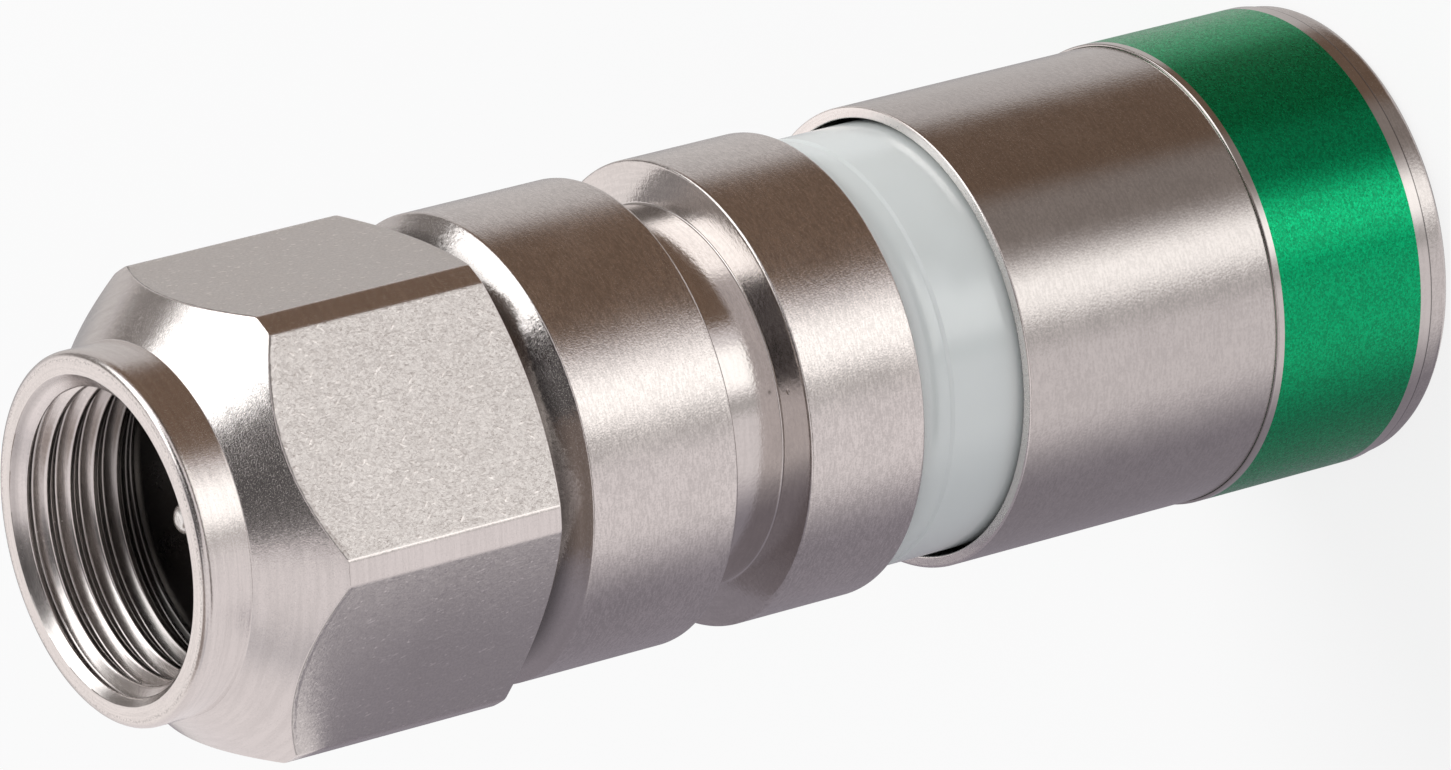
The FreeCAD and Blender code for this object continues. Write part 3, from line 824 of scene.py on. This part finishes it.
class CONNECTOR_OT_sleeve(bpy.types.Operator):
    """Builds the sliding sleeve"""

    bl_idname = "connector.sleeve"
    bl_label = "Sleeve"

    def execute(self, context):
        sizes, plating = sizes_now(), tuple(colours_now().plating)
        shell = sizes.shell_radius / MM
        bore, mouth = 6.65, SLEEVE_HIGH.z
        cable_bore, taper_rear, taper_front = 5.45, 4.8, 8.0
        satin = plated_metal("satin_sleeve", tinted(plating, 0.86), 0.21, lines=(12.0, 0.0016, 3.2),
                             grain=(13.0, 0.0052), cloud=(0.9, 0.03), tone=0.08)
        # A lighter copy of the plating for the lip and the mouth of the bore: painted light against the
        # shade of the gap by the insert.
        painted_light_lip = plated_metal("sleeve_lip_painted_light", tinted(plating, 1.3), 0.28, lines=(9.0, 0.001, 0.3),
                           grain=(12.0, 0.002))
        sleeve = turned("closing_sleeve", [
            (cable_bore + 0.35, 0, 0.03),
            (shell, 0, 0.3),
            (shell, mouth, 0.06),
            (bore, mouth, 0.04),
            (bore, taper_front, 0.3),
            (cable_bore, taper_rear, 0.2),
            (cable_bore, 0.35, 0.05),
        ], sizes.steps_round, [satin, painted_light_lip])
        paint(sleeve, lambda centre, radius: 1 if centre.z > mouth - 0.4 and radius < shell - 0.002 else 0)
        hand_over(sleeve, "sleeve", "satin_plating", "compression_sleeve")
        return {"FINISHED"}


class CONNECTOR_OT_band(bpy.types.Operator):
    """Builds the green film round the sleeve"""

    bl_idname = "connector.band"
    bl_label = "Marking Band"

    def execute(self, context):
        sizes = sizes_now()
        inner, outer = 7.01, BAND_HIGH.x
        low, high = BAND_LOW.z, BAND_HIGH.z
        margin, rear_extra = sizes.foil_margin / MM, 0.2
        ink_low, ink_high = low + margin + rear_extra, high - margin
        foil = foil_print(tuple(colours_now().foil))
        # The film is darkened in a thin line at its rear edge: a painted shadow under the edge.
        clear = plated_metal("bare_film", tinted(colours_now().plating, 0.9), 0.18,
                             lines=(6.0, 0.0006, 0.12), grain=(9.0, 0.001), cloud=(0.9, 0.05), tone=0.04,
                             painted_shade_below=(low + 0.05, low + 0.08, 0.3))
        band = turned("green_band", [
            (inner, low, 0),
            (outer, low, 0.05),
            (outer, ink_low, 0),
            (outer, ink_high, 0),
            (outer, high, 0.05),
            (inner, high, 0),
        ], sizes.steps_round, [foil, clear])
        paint(band, lambda centre, radius: 0 if ink_low < centre.z < ink_high else 1)
        hand_over(band, "sleeve", "green_film", "marking_band")
        return {"FINISHED"}


class CONNECTOR_OT_insert(bpy.types.Operator):
    """Builds the white plastic insert"""

    bl_idname = "connector.insert"
    bl_label = "Insert"

    def execute(self, context):
        acetal = white_acetal(tuple(colours_now().acetal))
        tail, tail_radius, front = 10.58, 6.05, 22.38
        outside, collar, step = 6.5, 6.44, 18.06
        insert = turned("white_insert", [
            (INSERT_BORE, tail, 0.05),
            (tail_radius, tail, 0.08),
            (outside, tail + 1.2, 0.1),
            (outside, step, 0.06),
            (collar, step + 0.12, 0.06),
            (collar, BODY_REAR, 0),
            (SEAT_RADIUS, BODY_REAR, 0),
            (SEAT_RADIUS, front, 0.1),
            (INSERT_BORE, front, 0.05),
        ], sizes_now().steps_round, [acetal])
        hand_over(insert, "shell", "white_plastic", "compression_insert")
        return {"FINISHED"}


class CONNECTOR_OT_core(bpy.types.Operator):
    """Finishes the inner pieces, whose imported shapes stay"""

    bl_idname = "connector.core"
    bl_label = "Inner Pieces"

    def execute(self, context):
        colours = colours_now()
        inner = plated_metal("inner_plating", tuple(colours.inner_plating), 0.3, lines=(9.0, 0.0025, 0.3),
                             grain=(12.0, 0.002))
        pin = plated_metal("pin_plating", tuple(colours.pin), 0.26, lines=(14.0, 0.002, 0.5),
                           grain=(10.0, 0.003))
        black = moulded_plastic("black_plastic", (0.018, 0.018, 0.02), 0.45)
        natural = moulded_plastic("natural_plastic", (0.72, 0.72, 0.68), 0.4)
        rubber = moulded_plastic("black_rubber", (0.02, 0.02, 0.02), 0.6, 9.0)
        for node, material in (("contact_ferrule", inner), ("braid_post", inner), ("centre_pin", pin),
                               ("front_insulator", black), ("pin_guide", natural), ("nut_seal", rubber)):
            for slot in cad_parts[node].material_slots:
                slot.material = material
        return {"FINISHED"}


class CONNECTOR_OT_stage(bpy.types.Operator):
    """Builds the floor, the light and the camera"""

    bl_idname = "connector.stage"
    bl_label = "Stage"

    def execute(self, context):
        build_floor(tuple(colours_now().floor))
        build_surroundings()
        build_flags()
        build_lamps()
        build_camera()
        bpy.context.scene.view_settings.view_transform = "Standard"
        return {"FINISHED"}


# Stage


def build_floor(colour):
    """Wide pale floor under the cable end. It is near white to the camera and keeps the shadow."""
    work = bmesh.new()
    bmesh.ops.create_circle(work, cap_ends=True, segments=64, radius=3.0)
    mesh = bpy.data.meshes.new("floor")
    work.to_mesh(mesh)
    work.free()
    floor = mesh_object("floor", mesh)
    floor.visible_glossy = False
    material, tree = new_material("pale_floor")
    rays = tree.node("ShaderNodeLightPath")
    plain = tree.node("ShaderNodeBsdfDiffuse", None, {"Color": (*colour, 1)}).wire()
    white = tree.node("ShaderNodeEmission", None, {"Color": (1, 1, 1, 1), "Strength": 1.0}).wire()
    seen = tree.math("MAXIMUM", rays.wire("Is Camera Ray"), rays.wire("Is Glossy Ray"))
    share = tree.math("MAXIMUM", seen, rays.wire("Is Transmission Ray")) * 0.8
    both = tree.node("ShaderNodeMixShader", None, {0: share, 1: plain, 2: white}).wire()
    tree.node("ShaderNodeOutputMaterial", None, {"Surface": both})
    mesh.materials.append(material)


def card(tree, azimuth, elevation, centre, half, low, high, soft, soft_up):
    """How much of a direction lies on a studio card, in degrees round and above the object."""
    turn = tree.math("WRAP", azimuth - centre, 180.0, -180.0)
    aside = tree.step(tree.math("ABSOLUTE", turn), half - soft, half + soft, 1.0, 0.0)
    above = tree.step(elevation, low - soft_up, low + soft_up)
    below = tree.step(elevation, high - soft_up, high + soft_up, 1.0, 0.0)
    return aside * above * below


def build_surroundings():
    """White world to the camera. Metal mirrors a studio of pale walls, softboxes and dark cards."""
    world = bpy.data.worlds.new("studio")
    bpy.context.scene.world = world
    world.use_nodes = True
    world.cycles.sampling_method = "NONE"
    tree = Tree(world.node_tree)
    direction = tree.node("ShaderNodeTexCoord").wire(0)
    x, y, z = tree.split(direction)
    azimuth = tree.math("ARCTAN2", y, x) * math.degrees(1)
    elevation = tree.math("ARCSINE", z) * math.degrees(1)
    look = (0.88, 0.83, 0.84, 1)

    # Colour of each card, then its azimuth, half width, lower and upper edge, and how soft its sides and
    # its edges are, in degrees. A later card lies over the earlier ones.
    cards = [
        ((1.05, 1.0, 0.99, 1), (80, 45, 15, 55, 10, 8)),
        ((0.66, 0.63, 0.62, 1), (52, 42, -90, 8, 8, 10)),
        ((0.185, 0.125, 0.09, 1), (-28, 41, -60, 12, 7, 8)),
        ((1.65, 1.62, 1.59, 1), (-94, 13, -80, -12, 5, 5)),
        ((1.5, 1.46, 1.42, 1), (-90, 22, -24, -11, 5, 3)),
        ((0.52, 0.5, 0.49, 1), (-116, 5, -90, -12, 3, 5)),
        ((0.45, 0.44, 0.45, 1), (76, 13, -90, 8, 6, 8)),
        ((0.22, 0.2, 0.19, 1), (32, 17, 4, 60, 5, 5)),
        ((0.09, 0.07, 0.06, 1), (-92, 62, -9, 6, 8, 3)),
        ((0.025, 0.02, 0.02, 1), (-76, 37, 33, 62, 5, 4)),
        ((0.3, 0.25, 0.23, 1), (135, 32, 43, 76, 8, 5)),
        ((0.6, 0.575, 0.6, 1), (178, 20, 24, 42, 10, 6)),
        ((0.07, 0.07, 0.08, 1), (0, 200, 74, 120, 8, 4)),
        ((2.4, 2.4, 2.4, 1), (-9, 28, 22, 72, 5, 5)),
        ((0.1, 0.095, 0.095, 1), (-97, 36, 50, 100, 6, 4)),
    ]
    for colour, place in cards:
        look = tree.mix(card(tree, azimuth, elevation, *place), look, colour)
    rays = tree.node("ShaderNodeLightPath")
    shade = tree.mix(card(tree, azimuth, elevation, 165, 60, -90, 90, 40, 30),
                     (0.62, 0.62, 0.62, 1), (0.34, 0.34, 0.37, 1))
    plain = tree.mix(rays.wire("Is Glossy Ray"), shade, look)
    colour = tree.mix(rays.wire("Is Camera Ray"), plain, (1, 1, 1, 1))
    shader = tree.node("ShaderNodeBackground", None, {"Color": colour, "Strength": 1.0}).wire()
    tree.node("ShaderNodeOutputWorld", None, {"Surface": shader})


def mirror_flag(name, vertices, faces, colour, clear):
    """Dark card close to the connector. Only mirrored light sees it, less where it is made clear."""
    mesh = bpy.data.meshes.new(name)
    mesh.from_pydata([vertex * MM for vertex in vertices], [], faces)
    flag = mesh_object(name, mesh)
    for kind in ("camera", "diffuse", "transmission", "volume_scatter", "shadow"):
        setattr(flag, "visible_" + kind, False)
    material, tree = new_material(name + "_card")
    x, y, _ = tree.split(point_on_piece(tree))
    dark = tree.node("ShaderNodeEmission", None, {"Color": (*colour, 1), "Strength": 1.0}).wire()
    nothing = tree.node("ShaderNodeBsdfTransparent").wire()
    both = tree.node("ShaderNodeMixShader", None, {0: clear(tree, x, y), 1: dark, 2: nothing}).wire()
    tree.node("ShaderNodeOutputMaterial", None, {"Surface": both})
    mesh.materials.append(material)


def upright_flag(name, azimuth, distance, left, right, low, high, colour, clear):
    """Upright card that faces the axis. How clear it is follows the distance along it."""
    side = math.radians(azimuth)
    out = Vector((math.cos(side), math.sin(side), 0))
    across = Vector((-out.y, out.x, 0))
    corners = [out * distance + across * reach + Vector((0, 0, height))
               for reach, height in ((left, low), (right, low), (right, high), (left, high))]
    mirror_flag(name, corners, [(0, 1, 2, 3)], colour,
                lambda tree, x, y: clear(tree, x * across.x + y * across.y))


def build_flags():
    """Dark glowing cards that only mirrored light sees, painting dark reflections: beside the connector,
    beside its sleeve, and over the gap behind its nut, where they paint its shade.
    """
    upright_flag("side_flag", azimuth=163, distance=8.0, left=-16, right=11, low=-8, high=38.5,
                 colour=(0.3, 0.275, 0.31), clear=lambda tree, along: tree.step(along, 5.0, 10.9))
    upright_flag("sleeve_flag", azimuth=-74, distance=8.5, left=-3.4, right=1.8, low=-8, high=15.9,
                 colour=(0.3, 0.26, 0.24),
                 clear=lambda tree, along: 1 - tree.step(along, -3.4, -0.8) * tree.step(along, 1.8, 0.2))
    inner, outer, height, quads_round = 8, 17, 37, 8
    turns = [math.radians(-98 - 9 * step) for step in range(quads_round + 1)]
    ring = [Vector((radius * math.cos(turn), radius * math.sin(turn), height))
            for turn in turns for radius in (inner, outer)]
    quads = [(2 * step, 2 * step + 1, 2 * step + 3, 2 * step + 2) for step in range(quads_round)]
    # The ring over the gap paints the shade behind the nut into the bevel's reflections.
    mirror_flag("gap_flag", ring, quads, (0.2, 0.16, 0.142),
                lambda tree, x, y: tree.node("ShaderNodeNewGeometry").wire("Backfacing"))


def area_lamp(name, azimuth, elevation, distance, width, watts):
    """Square lamp that looks at the connector from a direction in degrees. Lengths are metres."""
    aim = Vector((0, 0, 0.022))
    side, up = math.radians(azimuth), math.radians(elevation)
    out = Vector((math.cos(up) * math.cos(side), math.cos(up) * math.sin(side), math.sin(up)))
    light = bpy.data.lights.new(name, "AREA")
    light.size = width
    light.energy = watts
    lamp = bpy.data.objects.new(name, light)
    bpy.context.scene.collection.objects.link(lamp)
    lamp.location = aim + out * distance
    lamp.rotation_euler = out.to_track_quat("Z", "Y").to_euler()
    lamp.visible_glossy = False


def build_lamps():
    area_lamp("key_lamp", azimuth=0, elevation=42, distance=0.6, width=0.4, watts=2.0)
    area_lamp("fill_lamp", azimuth=-110, elevation=35, distance=0.7, width=0.5, watts=0.8)


def build_camera():
    """Camera at the photograph's place: it looks down on the nose and is rolled on its side."""
    right = Vector((-0.33052, -0.47684, -0.81447))
    up = Vector((0.93414, -0.28830, -0.21030))
    back = Vector((-0.13453, -0.83033, 0.54076))
    place = Vector((-44.93, -276.38, 201.69))
    data = bpy.data.cameras.new("camera")
    data.sensor_fit = "HORIZONTAL"
    data.sensor_width = 36.0
    data.lens = 281.2
    data.clip_start = 0.01
    camera = bpy.data.objects.new("camera", data)
    bpy.context.scene.collection.objects.link(camera)
    turn = Matrix((right, up, back)).transposed().to_4x4()
    camera.matrix_world = Matrix.Translation(place * MM) @ turn
    bpy.context.scene.camera = camera


# Panel and run


PIECE_OPERATORS = (
    CONNECTOR_OT_tools, CONNECTOR_OT_nut, CONNECTOR_OT_body, CONNECTOR_OT_sleeve, CONNECTOR_OT_band,
    CONNECTOR_OT_insert, CONNECTOR_OT_core, CONNECTOR_OT_stage,
)


class CONNECTOR_PT_panel(bpy.types.Panel):
    """Lists the connector's sizes, colours and pieces"""

    bl_label = "F Connector"
    bl_idname = "CONNECTOR_PT_panel"
    bl_space_type = "VIEW_3D"
    bl_region_type = "UI"
    bl_category = "Connector"

    def draw(self, context):
        for group in (sizes_now(), colours_now()):
            box = self.layout.box()
            for name in group.bl_rna.properties.keys():
                if name not in ("rna_type", "name"):
                    box.prop(group, name)
        for operator in PIECE_OPERATORS:
            self.layout.operator(operator.bl_idname)


CLASSES = (ConnectorSizes, ConnectorColours, *PIECE_OPERATORS, CONNECTOR_PT_panel)


def register():
    for item in CLASSES:
        bpy.utils.register_class(item)
    bpy.types.Scene.connector_sizes = bpy.props.PointerProperty(type=ConnectorSizes)
    bpy.types.Scene.connector_colours = bpy.props.PointerProperty(type=ConnectorColours)


def unregister():
    del bpy.types.Scene.connector_colours
    del bpy.types.Scene.connector_sizes
    for item in reversed(CLASSES):
        bpy.utils.unregister_class(item)


def main():
    register()
    for operator in PIECE_OPERATORS:
        family, name = operator.bl_idname.split(".")
        getattr(getattr(bpy.ops, family), name)()


if __name__ == "__main__":
    main()
